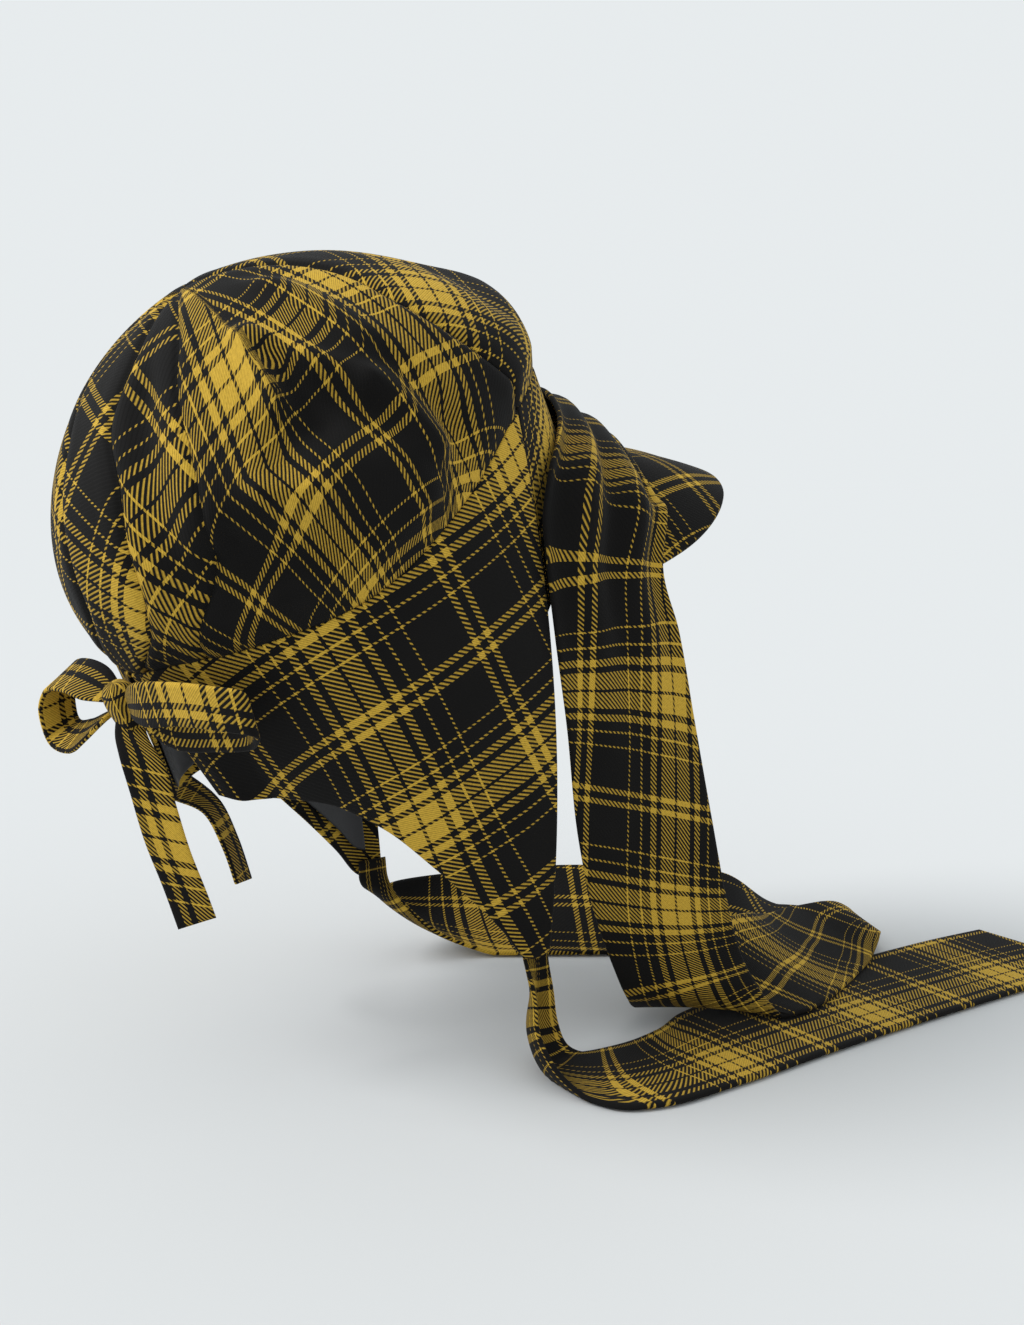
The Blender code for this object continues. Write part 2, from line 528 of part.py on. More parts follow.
def main():
    collection = fresh_collection("deerstalker_hat")
    tartan = material("tartan", (0.085, 0.078, 0.045), 0.85)
    satin = material("black_satin", (0.012, 0.012, 0.014), 0.45)
    crown_panel("crown_front", ("front", before_front), ("front", same), 16, 13, tartan, collection)
    crown_panel("crown_side_right", ("front", same), ("back_right", same), 12, 13, tartan, collection)
    crown_panel("crown_back_right", ("back_right", same), ("centre", same), 4, 13, tartan, collection)
    crown_panel("crown_back_left", ("centre", same), ("back_left", same), 4, 13, tartan, collection)
    crown_panel("crown_side_left", ("back_left", same), ("front", across), 16, 13, tartan, collection)
    front_band(tartan, collection)
    peak(tartan, collection)
    for side in (1, -1):
        ear_flap(side, tartan, collection)
        flap_lining(side, satin, collection)
    tie("tie_right", TIE_RIGHT_ROWS, tartan, collection)
    tie("tie_left", TIE_LEFT_ROWS, tartan, collection)
    bow_knot(tartan, collection)
    bow_band("bow_loop_right", BOW_LOOP_RIGHT, (KNOT_WIDTH / 2, 0, 0), tartan, collection)
    bow_band("bow_loop_left", BOW_LOOP_LEFT, (-KNOT_WIDTH / 2, 0, 0), tartan, collection)
    bow_band("bow_tail_right", BOW_TAIL_RIGHT, (0, 0, KNOT_HEIGHT / 2), tartan, collection)
    bow_band("bow_tail_left", BOW_TAIL_LEFT, (0, 0, KNOT_HEIGHT / 2), tartan, collection)


main()
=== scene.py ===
"""Looks for a deerstalker hat in black and mustard tartan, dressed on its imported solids.

Metres, +Z up, the peak points to -Y and the wearer's right is -X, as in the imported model. Every
piece of cloth is a grid of points worked out from two shares, with flat coordinates in metres on
its "weave" map, so that the tartan runs over it as over the real cut piece.
"""

import bmesh
import bpy
import numpy as np
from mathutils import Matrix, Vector


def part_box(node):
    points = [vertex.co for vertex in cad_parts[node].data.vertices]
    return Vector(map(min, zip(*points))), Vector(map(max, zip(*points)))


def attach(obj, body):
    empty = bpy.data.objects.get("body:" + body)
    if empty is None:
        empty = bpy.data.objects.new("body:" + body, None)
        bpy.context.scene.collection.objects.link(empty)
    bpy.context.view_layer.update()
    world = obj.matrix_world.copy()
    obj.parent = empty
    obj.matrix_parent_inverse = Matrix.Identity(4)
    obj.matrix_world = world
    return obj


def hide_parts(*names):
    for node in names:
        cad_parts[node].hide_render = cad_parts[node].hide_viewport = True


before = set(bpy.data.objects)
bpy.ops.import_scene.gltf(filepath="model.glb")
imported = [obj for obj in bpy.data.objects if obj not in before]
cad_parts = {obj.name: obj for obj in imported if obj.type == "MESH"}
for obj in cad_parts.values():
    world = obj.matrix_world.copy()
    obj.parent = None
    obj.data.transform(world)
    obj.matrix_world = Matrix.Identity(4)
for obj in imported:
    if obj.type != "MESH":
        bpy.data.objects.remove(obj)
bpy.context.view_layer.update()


# Floor, light and camera. The pale floor lies at the ties' level, as bright as the background, so that
# the two meet unseen. The light is an even sky and a wide soft lamp above the camera's left, and the
# camera stands behind the wearer's right shoulder.
FLOOR_GAP = 0.0004
FLOOR_REACH = 30.0
SKY = np.array([0.800, 0.835, 0.850])
KEY = {"ahead": -0.15, "left": 1.1, "up": 1.0, "strength": 2.3, "angle": 30}
EYE = Vector((-0.4940, 0.2568, 0.0135))
EYE_TURN = np.radians(35)       # from +X towards -Y
EYE_PITCH = np.radians(7.69)    # down
LENS = 36.54
NEAREST = 0.01

floor_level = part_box("tie_right")[0].z - FLOOR_GAP
floor_mesh = bpy.data.meshes.new("floor")
corners = [(x * FLOOR_REACH, y * FLOOR_REACH, floor_level) for x, y in ((-1, -1), (1, -1), (1, 1), (-1, 1))]
floor_mesh.from_pydata(corners, [], [(0, 1, 2, 3)])
floor = bpy.data.objects.new("floor", floor_mesh)
bpy.context.scene.collection.objects.link(floor)
floor_paint = bpy.data.materials.new("pale_floor")
floor_paint.use_nodes = True
steepness = KEY["up"] / np.linalg.norm([KEY["ahead"], KEY["left"], KEY["up"]])
pale = SKY / (SKY + KEY["strength"] * steepness / np.pi)
floor_shader = floor_paint.node_tree.nodes["Principled BSDF"]
floor_shader.inputs["Base Color"].default_value = (*pale, 1)
floor_shader.inputs["Roughness"].default_value = 1.0
floor_shader.inputs["Specular IOR Level"].default_value = 0.0
floor_mesh.materials.append(floor_paint)

world = bpy.data.worlds.new("studio")
world.use_nodes = True
world.node_tree.nodes["Background"].inputs["Color"].default_value = (*SKY, 1)
world.node_tree.nodes["Background"].inputs["Strength"].default_value = 1.0
bpy.context.scene.world = world
bpy.context.scene.view_settings.view_transform = "Standard"


def aim(thing, place, look):
    """Stand a camera or a light at a place, so that it looks along a direction."""
    thing.location = place
    thing.rotation_euler = Vector(look).to_track_quat("-Z", "Y").to_euler()
    bpy.context.scene.collection.objects.link(thing)


ahead = Vector((np.cos(EYE_TURN), -np.sin(EYE_TURN), 0))
leftward = Vector((np.sin(EYE_TURN), np.cos(EYE_TURN), 0))
camera = bpy.data.objects.new("camera", bpy.data.cameras.new("camera"))
camera.data.lens = LENS
camera.data.clip_start = NEAREST
aim(camera, EYE, ahead * np.cos(EYE_PITCH) - Vector((0, 0, np.sin(EYE_PITCH))))
bpy.context.scene.camera = camera

light = bpy.data.lights.new("key", "SUN")
light.energy, light.angle = KEY["strength"], np.radians(KEY["angle"])
toward = ahead * KEY["ahead"] + leftward * KEY["left"] + Vector((0, 0, KEY["up"]))
aim(bpy.data.objects.new("key", light), toward, -toward)


# Crown. Five panels of tartan twill are sewn edge to edge and meet at the top, over a plain black
# lining. The seams have turned about the head to the wearer's right, and the cloth is soft, so it
# slumps into a few long folds over the seam that joins it to the band and the flaps.
HEAD_LENGTH = 0.210
HEAD_WIDTH = 0.174
CROWN_HEIGHT = 0.1051
CROWN_TILT = np.radians(37)
CROWN_FULLNESS = 0.046
CROWN_LEAN = 0.0065
FRONT_ROUNDNESS = 1.82
BACK_ROUNDNESS = 2.21
CROWN_PROFILE = 1.4
CLOTH = 0.0020
BASE_GAP = 0.00052          # from the crown's base down to what is sewn on under it
SEAM_DIP = 0.0011
SEAM_WIDTH = 0.0016
PUFF = {"height": 0.0004, "at": 0.006, "width": 0.004}      # where the cloth rises beside a seam
RIM = {"tuck": 0.0014, "width": 0.0022, "drop": 0.0022, "height": 0.002}    # turned in and under
DOME_RADIUS = 0.098         # of the dome that the panels are laid flat from
HALF_LENGTH = HEAD_LENGTH / 2
HALF_WIDTH = HEAD_WIDTH / 2
FORWARD = np.array([0.0, -np.cos(CROWN_TILT), np.sin(CROWN_TILT)])
RIGHT = np.array([-1.0, 0.0, 0.0])
CROWN_AXIS = np.array([0.0, np.sin(CROWN_TILT), np.cos(CROWN_TILT)])
SEAM_RISE = {
    "around": (0, 30, 57, 85, 110, 135, 157, 180),
    "rise": (0.04, 0.06, 0.08, 0.00, -0.045, 0.02, 0.075, 0.06),
}
CROWN_SEAMS = {
    "up": (0.00, 0.06, 0.16, 0.31, 0.45, 0.60, 0.75, 1.00),
    "front": (57, 57, 60, 62, 61, 54, 48, 42),
    "back_right": (149, 146, 138, 132, 129, 127, 121, 114),
    "centre": (170, 160, 154, 152, 151, 154, 148, 144),
    "back_left": (191, 184, 176, 176, 180, 184, 200, 206),
    "front_left": (303, 303, 300, 298, 299, 306, 312, 318),
}
FOLDS_FROM = 0.08           # height share from which the folds are full
CROWN_FOLDS = (             # ends in degrees around and height share, then shares of CROWN_HEIGHT
    {"start": (76, 0.66), "end": (84, 0.18), "width": 0.11, "height": 0.045},
    {"start": (94, 0.36), "end": (80, 0.13), "width": 0.11, "height": -0.050},
    {"start": (112, 0.14), "end": (140, 0.16), "width": 0.12, "height": -0.055},
    {"start": (92, 0.16), "end": (118, 0.30), "width": 0.12, "height": 0.040},
    {"start": (140, 0.62), "end": (143, 0.30), "width": 0.10, "height": -0.035},
    {"start": (268, 0.16), "end": (250, 0.30), "width": 0.13, "height": 0.040},
    {"start": (236, 0.14), "end": (222, 0.20), "width": 0.13, "height": -0.045},
    {"start": (296, 0.60), "end": (276, 0.24), "width": 0.12, "height": 0.035},
    {"start": (20, 0.45), "end": (36, 0.25), "width": 0.14, "height": -0.030},
    {"start": (98, 0.60), "end": (88, 0.37), "width": 0.055, "height": 0.042},
    {"start": (87, 0.33), "end": (84, 0.15), "width": 0.055, "height": 0.046},
    {"start": (80, 0.36), "end": (77, 0.17), "width": 0.065, "height": -0.044},
    {"start": (102, 0.62), "end": (106, 0.44), "width": 0.050, "height": 0.028},
    {"start": (97, 0.52), "end": (101, 0.36), "width": 0.065, "height": -0.044},
    {"start": (112, 0.33), "end": (108, 0.36), "width": 0.080, "height": -0.040},
    {"start": (118, 0.29), "end": (108, 0.23), "width": 0.050, "height": 0.026},
    {"start": (129.5, 0.237), "end": (134.5, 0.21), "width": 0.045, "height": -0.030},
    {"start": (126, 0.080), "end": (92, 0.065), "width": 0.070, "height": 0.042},
    {"start": (262, 0.60), "end": (270, 0.37), "width": 0.055, "height": 0.028},
    {"start": (256, 0.52), "end": (252, 0.36), "width": 0.060, "height": -0.028},
    {"start": (242, 0.29), "end": (252, 0.23), "width": 0.050, "height": 0.026},
    {"start": (18, 0.24), "end": (50, 0.12), "width": 0.200, "height": 0.040},
    {"start": (330, 0.30), "end": (345, 0.20), "width": 0.060, "height": 0.022},
    {"start": (10, 0.30), "end": (0, 0.16), "width": 0.060, "height": -0.024},
)


def through(knots, rows, at):
    """Rows of numbers on a cubic curve through their knots, whose slope at a row is the mean of the
    slopes on its two sides, each weighted by the length of the other side."""
    knots, rows = np.asarray(knots, float), np.asarray(rows, float)
    step = np.diff(knots)
    slope = np.diff(rows, axis=0) / step[:, None]
    tangent = np.empty_like(rows)
    tangent[0], tangent[-1] = slope[0], slope[-1]
    before, after = step[:-1, None], step[1:, None]
    tangent[1:-1] = (slope[:-1] * after + slope[1:] * before) / (before + after)
    at = np.clip(at, knots[0], knots[-1])
    index = np.clip(np.searchsorted(knots, at, side="right") - 1, 0, len(knots) - 2)
    width = step[index]
    t = ((at - knots[index]) / width)[..., None]
    width = width[..., None]
    return ((2 * t**3 - 3 * t**2 + 1) * rows[index] + (t**3 - 2 * t**2 + t) * width * tangent[index]
            + (3 * t**2 - 2 * t**3) * rows[index + 1] + (t**3 - t**2) * width * tangent[index + 1])


def read(table, key, name, at):
    """One column of a table, read anywhere along its key column."""
    return through(table[key], np.asarray(table[name], float)[:, None], np.asarray(at, float))[..., 0]


def unit(vectors):
    """Vectors divided by their own lengths."""
    return vectors / np.maximum(np.linalg.norm(vectors, axis=-1, keepdims=True), 1e-12)


def outward(points):
    """Unit normals of a grid whose first axis runs to the right and second up, as seen from outside:
    the cross product of its differences both ways."""
    return unit(np.cross(np.gradient(points, axis=0), np.gradient(points, axis=1)))


def run(points, axis):
    """Distance along a grid's lines from their start: the running sum of their steps' lengths."""
    steps = np.linalg.norm(np.diff(points, axis=axis), axis=-1)
    zero = np.zeros_like(np.take(steps, [0], axis=axis))
    return np.concatenate([zero, np.cumsum(steps, axis=axis)], axis=axis)


def fold_height(around, up, folds):
    """Height of soft folds at a place on the crown: each is a ridge or hollow that falls off from
    its line as exp(-(distance / width)^2)."""
    profile = CROWN_HEIGHT * CROWN_PROFILE
    place = np.stack([np.radians(np.mod(around, 360)) * HALF_LENGTH, up * profile], -1)
    total = np.zeros(np.broadcast(around, up).shape)
    for fold in folds:
        start, end = [np.array([np.radians(angle) * HALF_LENGTH, share * profile])
                      for angle, share in (fold["start"], fold["end"])]
        along = end - start
        share = np.clip((place - start) @ along / (along @ along), 0, 1)
        distance = np.linalg.norm(place - start - share[..., None] * along, axis=-1)
        total += fold["height"] * CROWN_HEIGHT * np.exp(-(distance / (fold["width"] * CROWN_HEIGHT))**2)
    return total * np.clip(up / FOLDS_FROM, 0, 1)


def crown_point(around, up, off=0.0):
    """The crown's outer face: a profile between a circle's and a square's, cos and sin of its height
    to a power, swollen over the base and slumped aside, carried round the oval base, then folded."""
    around, up = np.broadcast_arrays(np.asarray(around, float), np.asarray(up, float))
    angle = np.radians(around)
    front = 0.5 + 0.5 * np.cos(angle)
    power = 2 / (BACK_ROUNDNESS + (FRONT_ROUNDNESS - BACK_ROUNDNESS) * front)
    rise = np.clip(np.sin(up * np.pi / 2), 0, 1)**power
    swell = np.sin(np.pi * rise)
    radius = np.clip(np.cos(up * np.pi / 2), 0, 1)**power * (1 + CROWN_FULLNESS * swell)
    place = HALF_LENGTH * radius * np.cos(angle)
    side = HALF_WIDTH * radius * np.sin(angle) + CROWN_LEAN * swell
    half = np.mod(around, 360)
    half = np.where(half > 180, 360 - half, half)
    lift = CROWN_HEIGHT * (rise + read(SEAM_RISE, "around", "rise", half) * (1 - up)**3)
    out = fold_height(around, up, CROWN_FOLDS) + off
    share = up[..., None]
    direction = unit((1 - share) * (np.cos(angle)[..., None] * FORWARD + np.sin(angle)[..., None] * RIGHT)
                     + share * CROWN_AXIS)
    return (place[..., None] * FORWARD + side[..., None] * RIGHT + lift[..., None] * CROWN_AXIS
            + out[..., None] * direction)


def lay_flat(points, radius):
    """Flat coordinates of a domed grid about its middle: each point keeps its direction from the
    middle, at the length that its straight distance spans as an arc of the radius."""
    i, j = points.shape[0] // 2, points.shape[1] // 2
    up = unit(points[i, j + 1] - points[i, j - 1])
    out = outward(points)[i, j]
    right = unit(np.cross(up, out))
    up = np.cross(out, right)
    away = points - points[i, j]
    x, y = away @ right, away @ up
    arc = 2 * radius * np.arcsin(np.clip(np.linalg.norm(away, axis=-1) / (2 * radius), 0, 1))
    share = arc / np.maximum(np.hypot(x, y), 1e-9)
    return np.stack([x * share, y * share], -1)


def turned(flat, grain):
    """Flat coordinates turned by the grain's angle and shifted by its two offsets, in metres."""
    angle = np.radians(grain["angle"])
    u = flat[..., 0] * np.cos(angle) + flat[..., 1] * np.sin(angle) + grain["u"]
    v = -flat[..., 0] * np.sin(angle) + flat[..., 1] * np.cos(angle) + grain["v"]
    return np.stack([u, v], -1)


# The dart and the tuck of a side panel, in metres on the flat panel. DART's slope is what it takes up
# for each metre along it.
DART = {"x": -0.013, "end": -0.014, "foot": -0.035, "slope": 0.6, "seam": 0.0012, "spread": 0.7}
TUCK_START = 0.002
TUCK_WIDTH = 0.010
SLIDE = 0.0105
SLIDE_START = 0.026


def eased(flat, grain):
    """A panel's weave: its turned flat coordinates, gathered across by a share, less what a tuck
    takes up beside the double stripe and what a dart takes up beside its line. Past the tuck the
    cloth has slid along it."""
    weave = turned(flat, grain)
    weave[..., 1] *= grain["gather"]
    weave[..., 1] += grain["tuck"] * np.clip((weave[..., 1] - TUCK_START) / TUCK_WIDTH, 0, 1)
    weave[..., 0] += SLIDE * grain["side"] * np.clip((weave[..., 1] - SLIDE_START) / TUCK_WIDTH, 0, 1)
    beyond = DART["x"] - flat[..., 0] * grain["side"]
    soft = DART["seam"] + DART["spread"] * np.clip(DART["end"] - flat[..., 1], 0, None)
    depth = DART["slope"] * np.clip(flat[..., 1] - DART["foot"], 0, None) * abs(grain["side"])
    weave[..., 1] -= depth * np.clip(beyond / soft, 0, 1)
    return weave


MERGED = 2e-6


def sew(name, points, weave, finish, ring=False):
    """A mesh from a grid of points, with the weave map on its corners. A ring's last line joins its
    first, and points that coincide are merged, which closes its ends and poles."""
    across, along = points.shape[:2]
    wide = across if ring else across - 1
    i, j = np.meshgrid(np.arange(wide), np.arange(along - 1), indexing="ij")
    step_i = np.stack([i, i + 1, i + 1, i], -1).reshape(-1, 4)
    step_j = np.stack([j, j, j + 1, j + 1], -1).reshape(-1, 4)
    faces = (step_i % across) * along + step_j
    mesh = bpy.data.meshes.new(name)
    mesh.from_pydata(points.reshape(-1, 3).tolist(), [], faces.tolist())
    layer = mesh.uv_layers.new(name="weave")
    layer.data.foreach_set("uv", weave[step_i, step_j].reshape(-1).astype(np.float32))
    shape = bmesh.new()
    shape.from_mesh(mesh)
    bmesh.ops.remove_doubles(shape, verts=shape.verts, dist=MERGED)
    shape.to_mesh(mesh)
    shape.free()
    mesh.shade_smooth()
    for made_of in finish:
        mesh.materials.append(made_of)
    piece = bpy.data.objects.new(name, mesh)
    bpy.context.scene.collection.objects.link(piece)
    return piece


class Thread:
    """A value in a material's nodes. Arithmetic on it adds Math nodes, and node() any other node."""

    def __init__(self, tree, socket=None):
        self.tree, self.socket = tree, socket

    def node(self, kind, settings, inputs, output=0):
        made = self.tree.nodes.new(kind)
        for name, value in settings.items():
            setattr(made, name, value)
        for place, value in inputs.items():
            if isinstance(value, Thread):
                self.tree.links.new(value.socket, made.inputs[place])
            else:
                made.inputs[place].default_value = value
        return Thread(self.tree, made.outputs[output])

    def math(self, operation, *values):
        return self.node("ShaderNodeMath", {"operation": operation}, dict(enumerate(values)))

    def __add__(self, other):
        return self.math("ADD", self, other)

    def __sub__(self, other):
        return self.math("SUBTRACT", self, other)

    def __rsub__(self, other):
        return self.math("SUBTRACT", other, self)

    def __mul__(self, other):
        return self.math("MULTIPLY", self, other)

    __radd__, __rmul__ = __add__, __mul__

    def within(self, middle, reach):
        return self.math("COMPARE", self, middle, reach)

    def mix(self, first, second):
        """Colour from first to second as this value goes from 0 to 1."""
        return self.node("ShaderNodeMix", {"data_type": "RGBA"}, {0: self, 6: first, 7: second}, 2)


MUSTARD = (0.640, 0.405, 0.050, 1)
# deeper mustard, for random fibre flecks and for painted shade at the edges of the twill dashes
MUSTARD_FLECKED_AND_PAINTED_SHADE = (0.240, 0.150, 0.020, 1)
BLACK_YARN = (0.0045, 0.0041, 0.0038, 1)
BLACK_YARN_WORN = (0.0090, 0.0084, 0.0080, 1)
SETT_HALF = 0.05075         # from the middle of the double stripe to the middle of the wide band
SETT = (                    # mustard stripes of half a sett: middle and width in metres
    {"middle": 0.0030, "width": 0.0027},
    {"middle": 0.0245, "width": 0.0008},
    {"middle": 0.0315, "width": 0.0010},
    {"middle": 0.0382, "width": 0.0032},
    {"middle": 0.0463, "width": 0.0076},
)
TWILL_PITCH = 0.00225       # between twill lines, measured along a yarn
TWILL_SHARE = 0.56          # of the face, the yarns that run along the map's first axis
TWILL_RELIEF = 0.00022      # from a groove to the top of a twill line
FIBRES = 900.0              # scale of the flecks of single fibres
WEAR = 28.0                 # scale of the worn and fresh patches
TWILL_FINISH = {"Specular IOR Level": 0.08, "Sheen Weight": 0.03, "Sheen Roughness": 0.5}


def tartan_twill(name):
    """Twill in two sets of yarns with the same mirrored sett. A yarn's colour depends on one
    coordinate, and which set lies on top on their sum, in lines one pitch apart."""
    made = bpy.data.materials.new(name)
    made.use_nodes = True
    tree = made.node_tree
    start = Thread(tree)
    place = start.node("ShaderNodeUVMap", {"uv_map": "weave"}, {})
    u = start.node("ShaderNodeSeparateXYZ", {}, {0: place}, 0)
    v = start.node("ShaderNodeSeparateXYZ", {}, {0: place}, 1)

    def yarns(across):
        """1 where a yarn is mustard, 0 where it is black: its place folded into half a sett and held
        against the stripes."""
        folded = across.math("PINGPONG", across, SETT_HALF)
        stripe = 0
        for row in SETT:
            stripe = folded.within(row["middle"], row["width"] / 2) + stripe
        return stripe

    twill = ((u + v) * (1 / TWILL_PITCH)).math("FRACT", (u + v) * (1 / TWILL_PITCH))
    top = twill.math("LESS_THAN", twill, TWILL_SHARE)
    along_u, along_v = yarns(v), yarns(u)
    mustard = along_u * top + along_v * (1 - top)
    # Painted shade: the mustard is mixed towards its deeper tone at the edges of each twill dash, as the
    # shade of round yarns, and kept brighter in the middle of each dash and where both sets are mustard;
    # the fibre flecks vary it at random.
    painted_yarn_shade = (twill * 4).math("PINGPONG", twill * 4, 1.0)
    solid = along_u * along_v
    speck = start.node("ShaderNodeTexNoise", {}, {"Vector": place, "Scale": FIBRES, "Detail": 2.0})
    cloud = start.node("ShaderNodeTexNoise", {}, {"Vector": place, "Scale": WEAR, "Detail": 3.0})
    yellow_with_painted_shade = (painted_yarn_shade * 0.7 + speck * 0.9 + solid * 0.4 - 0.5).mix(MUSTARD_FLECKED_AND_PAINTED_SHADE, MUSTARD)
    black = (cloud * 1.4 - 0.2).mix(BLACK_YARN, BLACK_YARN_WORN)
    colour = mustard.mix(black, yellow_with_painted_shade)
    ridge = (twill - TWILL_SHARE / 2).math("ABSOLUTE", twill - TWILL_SHARE / 2)
    height = (1 - ridge) + speck * 0.5
    bump = start.node("ShaderNodeBump", {}, {"Strength": 0.55, "Distance": TWILL_RELIEF, "Height": height})
    shader = tree.nodes["Principled BSDF"]
    tree.links.new(colour.socket, shader.inputs["Base Color"])
    tree.links.new((0.72 + cloud * 0.2).socket, shader.inputs["Roughness"])
    tree.links.new(bump.socket, shader.inputs["Normal"])
    for socket, value in TWILL_FINISH.items():
        shader.inputs[socket].default_value = value
    return made


SATIN_DARK = (0.006, 0.006, 0.008, 1)
SATIN_LIGHT = (0.015, 0.015, 0.019, 1)
SATIN_FLOATS = 700.0        # scale of the satin's lengthwise floats
SATIN_CLOUD = 45.0          # scale of its unevenness
SATIN_RELIEF = 0.0006
SATIN_SHEEN = 0.05


def satin(name):
    """Black satin: fine lengthwise floats that catch the light, over a slow unevenness."""
    made = bpy.data.materials.new(name)
    made.use_nodes = True
    tree = made.node_tree
    start = Thread(tree)
    place = start.node("ShaderNodeUVMap", {"uv_map": "weave"}, {})
    floats = start.node("ShaderNodeTexWave", {},
                        {"Vector": place, "Scale": SATIN_FLOATS, "Distortion": 1.5})
    cloud = start.node("ShaderNodeTexNoise", {}, {"Vector": place, "Scale": SATIN_CLOUD, "Detail": 3.0})
    colour = cloud.mix(SATIN_DARK, SATIN_LIGHT)
    height = floats * 0.2 + cloud
    bump = start.node("ShaderNodeBump", {}, {"Strength": 0.4, "Distance": SATIN_RELIEF, "Height": height})
    shader = tree.nodes["Principled BSDF"]
    tree.links.new(colour.socket, shader.inputs["Base Color"])
    tree.links.new((0.34 + cloud * 0.16).socket, shader.inputs["Roughness"])
    tree.links.new(bump.socket, shader.inputs["Normal"])
    shader.inputs["Sheen Weight"].default_value = SATIN_SHEEN
    return made


cloth = tartan_twill("tartan_twill")
lining = satin("black_satin")

PANEL_ROWS = 120
ROW_POWER = 0.95            # of the height share, so that the rows stand closer at the top
CROWDING = 0.08             # how much closer a panel's columns stand at its seams
PANELS = (                  # a panel's seams as seen from outside, the columns of its mesh and its grain
    {"name": "crown_front", "left": "front", "right": "front_left", "columns": 96,
     "grain": {"angle": 0, "u": 0.012, "v": 0.053, "gather": 1, "tuck": 0, "side": 0}},
    {"name": "crown_side_right", "left": "back_right", "right": "front", "columns": 96,
     "grain": {"angle": -74, "u": -0.043, "v": -0.002, "gather": 1.2, "tuck": 0.009, "side": 1}},
    {"name": "crown_back_right", "left": "centre", "right": "back_right", "columns": 40,
     "grain": {"angle": 111, "u": -0.0335, "v": 0.0073, "gather": 1, "tuck": 0, "side": 0}},
    {"name": "crown_back_left", "left": "back_left", "right": "centre", "columns": 40,
     "grain": {"angle": -138, "u": 0.0174, "v": 0.0027, "gather": 1, "tuck": 0, "side": 0}},
    {"name": "crown_side_left", "left": "front_left", "right": "back_left", "columns": 96,
     "grain": {"angle": 74, "u": 0.043, "v": -0.002, "gather": 1.2, "tuck": 0.009, "side": -1}},
)
for panel in PANELS:
    up = np.linspace(0, 1, PANEL_ROWS)**ROW_POWER
    share = np.linspace(0, 1, panel["columns"])[:, None]
    share = share - np.sin(2 * np.pi * share) * CROWDING
    left = read(CROWN_SEAMS, "up", panel["left"], up)
    right = read(CROWN_SEAMS, "up", panel["right"], up)
    right = np.where(right > left, right - 360, right)
    around = left + (right - left) * share
    rows = np.broadcast_to(up, around.shape)
    bare = crown_point(around, rows)
    reach = run(bare, 0)
    edge = np.minimum(reach, reach[-1:] - reach)
    low = run(bare, 1)
    off = PUFF["height"] * np.exp(-((edge - PUFF["at"]) / PUFF["width"])**2)
    off = off - SEAM_DIP * np.exp(-(edge / SEAM_WIDTH)**2)
    off = off - RIM["tuck"] * np.exp(-(low / RIM["width"])**2)
    points = crown_point(around, rows, off)
    points -= CROWN_AXIS * RIM["drop"] * np.exp(-(low / RIM["height"])**2)[..., None]
    weave = eased(lay_flat(bare, DOME_RADIUS), panel["grain"])
    piece = sew(panel["name"] + "_cloth", points, weave, (cloth, lining))
    wall = piece.modifiers.new("wall", "SOLIDIFY")
    wall.thickness = CLOTH
    wall.offset = -1
    wall.material_offset = 1
    wall.material_offset_rim = 1
    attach(piece, "root")
    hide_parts(panel["name"])


# Front band. A narrow strip of the same cloth over the forehead, sewn to the crown above, to the
# flaps at its ends and to the peak below.
BAND_DEPTH = 0.0375
BAND_EDGE = {
    "around": (0, 20, 40, 57),
    "side": (0.0, 0.34, 0.66, 0.85),
    "forward": (0.975, 0.93, 0.775, 0.515),
    "up": (0.80, 0.55, -0.20, -1.05),
}
BAND_MESH = {"along": (90, 0.20), "down": (20, 0.03)}     # lines, and the metres they spread over
BAND_GRAIN = {"angle": 0, "u": 0.02, "v": 0.01}
FRONT_SEAM = CROWN_SEAMS["front"][0]
EDGE_LINES = (0, 0.12, 0.4) # where the extra lines of an edge stand, in shares of its depth
WIDE_EDGE = 0.003
FINE_EDGE = 0.002
ROUNDED = 0.6               # of its thickness, how far in a doubled piece's edge is round


def spread(count, width, edge):
    """Shares from 0 to 1, evenly spaced but for three closer ones at each edge, where cloth turns."""
    close = np.array(EDGE_LINES) * edge / width
    return np.concatenate([close, np.linspace(edge / width, 1 - edge / width, count), 1 - close[::-1]])


def doubled(name, middle, thickness, flat, finish):
    """Layers sewn together: a middle surface pushed both ways along its normals by half the
    thickness, which falls at all four edges as a quarter circle, (1 - (1 - edge)^2)^(1/2)."""
    wide, long = run(middle, 0), run(middle, 1)
    edge = np.minimum(np.minimum(wide, wide[-1:] - wide), np.minimum(long, long[:, -1:] - long))
    edge = np.clip(edge / (ROUNDED * thickness), 0, 1)
    half = (thickness / 2 * np.sqrt(1 - (1 - edge)**2))[..., None] * outward(middle)
    points = np.concatenate([middle + half, (middle - half)[-2:0:-1]])
    under = flat[::-1] * (-1, 1) + 2 * flat[-1:] * (1, 0)
    weave = np.concatenate([flat, under[1:]])
    return sew(name, points, weave, finish, ring=True)


def band_edge(around):
    """The band's lower edge, mirrored for the wearer's left."""
    turned_to = np.abs(around)
    side = read(BAND_EDGE, "around", "side", turned_to) * HALF_WIDTH * np.sign(around)
    forward = read(BAND_EDGE, "around", "forward", turned_to) * HALF_LENGTH
    up = read(BAND_EDGE, "around", "up", turned_to) * BAND_DEPTH
    return np.stack([-side, -forward, up], -1)


around = FRONT_SEAM - 2 * FRONT_SEAM * spread(*BAND_MESH["along"], WIDE_EDGE)
top = crown_point(around, np.zeros_like(around)) - CROWN_AXIS * BASE_GAP
low = band_edge(around)
share = spread(*BAND_MESH["down"], FINE_EDGE)[None, :, None]
points = low[:, None] + (top - low)[:, None] * share
points -= outward(points) * CLOTH / 2
flat = np.stack([run(points, 0), run(points, 1)], -1)
band = doubled("front_band_cloth", points, CLOTH, turned(flat, BAND_GRAIN), (cloth,))
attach(band, "root")
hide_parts("front_band")


